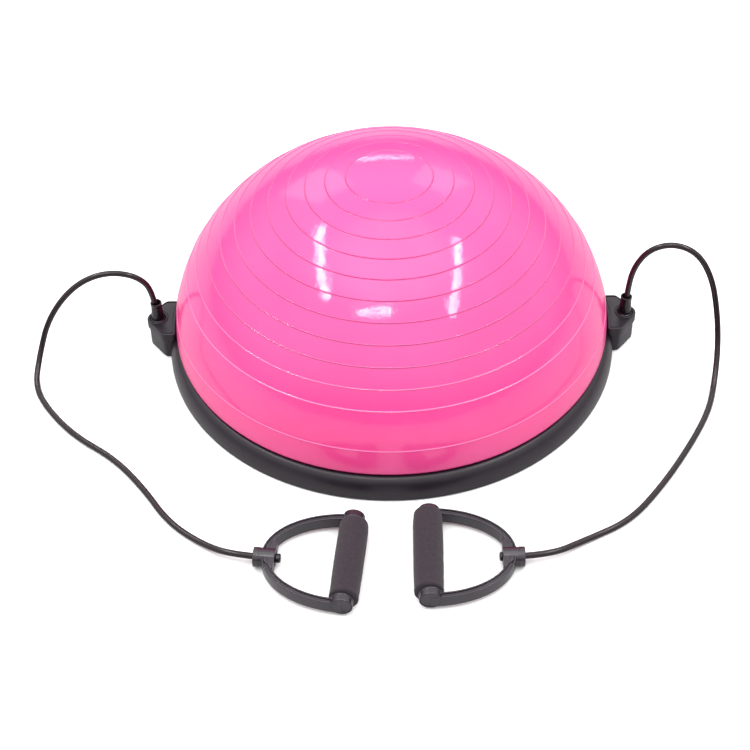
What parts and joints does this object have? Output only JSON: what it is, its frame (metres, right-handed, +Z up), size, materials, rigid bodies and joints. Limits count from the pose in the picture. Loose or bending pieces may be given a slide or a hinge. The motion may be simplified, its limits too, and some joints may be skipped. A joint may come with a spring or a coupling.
{
  "type": "balance dome trainer",
  "caption": "Inflated half-ball balance trainer on a flat round base, with side lugs, resistance tubes and foam-gripped D-handles.",
  "frame": {"origin": "on the floor, under the middle of the round base", "axes": "+Z up through the top of the dome; +X towards the lug on the right as seen from the front; -Y towards the front, where the handles lie"},
  "size_m": [0.8739, 0.7459, 0.2697],
  "materials": {
    "base_plastic": "matte",
    "rim_plastic": "satin",
    "dome_vinyl": "gloss",
    "bladder_rubber": "satin",
    "foot_rubber": "matte",
    "screw_steel": "satin",
    "valve_rubber": "matte",
    "plug_plastic": "satin",
    "fitting_plastic": "satin",
    "tube_rubber": "satin",
    "handle_plastic": "satin",
    "core_plastic": "matte",
    "grip_foam": "matte"
  },
  "bodies": {
    "base": {"base_plate": "base_plastic", "rim_ring": "rim_plastic", "dome_skin": "dome_vinyl", "bladder_floor": "bladder_rubber", "foot_ring": "foot_rubber", "rim_screws": "screw_steel", "valve_body": "valve_rubber", "left_lug_cover": "base_plastic", "right_lug_cover": "base_plastic"},
    "plug": {"valve_plug": "plug_plastic"},
    "left_band": {"left_anchor": "fitting_plastic", "left_ferrule": "fitting_plastic", "left_tube": "tube_rubber", "left_stop": "fitting_plastic"},
    "left_handle": {"left_bow": "handle_plastic", "left_pins": "handle_plastic"},
    "left_grip": {"left_grip_core": "core_plastic", "left_grip_foam": "grip_foam"},
    "right_band": {"right_anchor": "fitting_plastic", "right_ferrule": "fitting_plastic", "right_tube": "tube_rubber", "right_stop": "fitting_plastic"},
    "right_handle": {"right_bow": "handle_plastic", "right_pins": "handle_plastic"},
    "right_grip": {"right_grip_core": "core_plastic", "right_grip_foam": "grip_foam"}
  },
  "joints": [
    {"name": "valve_plug_pull", "type": "slide", "parent": "base", "child": "plug", "axis": [0, 0, -1], "range_m": [0, 0.02]},
    {"name": "left_band_swivel", "type": "hinge", "parent": "base", "child": "left_band", "pos_m": [-0.302, 0, 0.033], "axis": [0, 0, -1], "range_deg": [-3, 80]},
    {"name": "left_handle_swivel", "type": "hinge", "parent": "left_band", "child": "left_handle", "pos_m": [-0.14947, -0.38055, 0.012], "axis": [0.9945, -0.1045, 0], "continuous": true},
    {"name": "left_grip_spin", "type": "hinge", "parent": "left_handle", "child": "left_grip", "pos_m": [-0.053, -0.39069, 0.0164], "axis": [0.1045, 0.9945, 0], "continuous": true},
    {"name": "right_band_swivel", "type": "hinge", "parent": "base", "child": "right_band", "pos_m": [0.302, 0, 0.033], "axis": [0, 0, 1], "range_deg": [-3, 80]},
    {"name": "right_handle_swivel", "type": "hinge", "parent": "right_band", "child": "right_handle", "pos_m": [0.1374, -0.38387, 0.012], "axis": [-0.9999, 0.0105, 0], "continuous": true},
    {"name": "right_grip_spin", "type": "hinge", "parent": "right_handle", "child": "right_grip", "pos_m": [0.04041, -0.38286, 0.0164], "axis": [-0.0105, -0.9999, 0], "continuous": true}
  ]
}
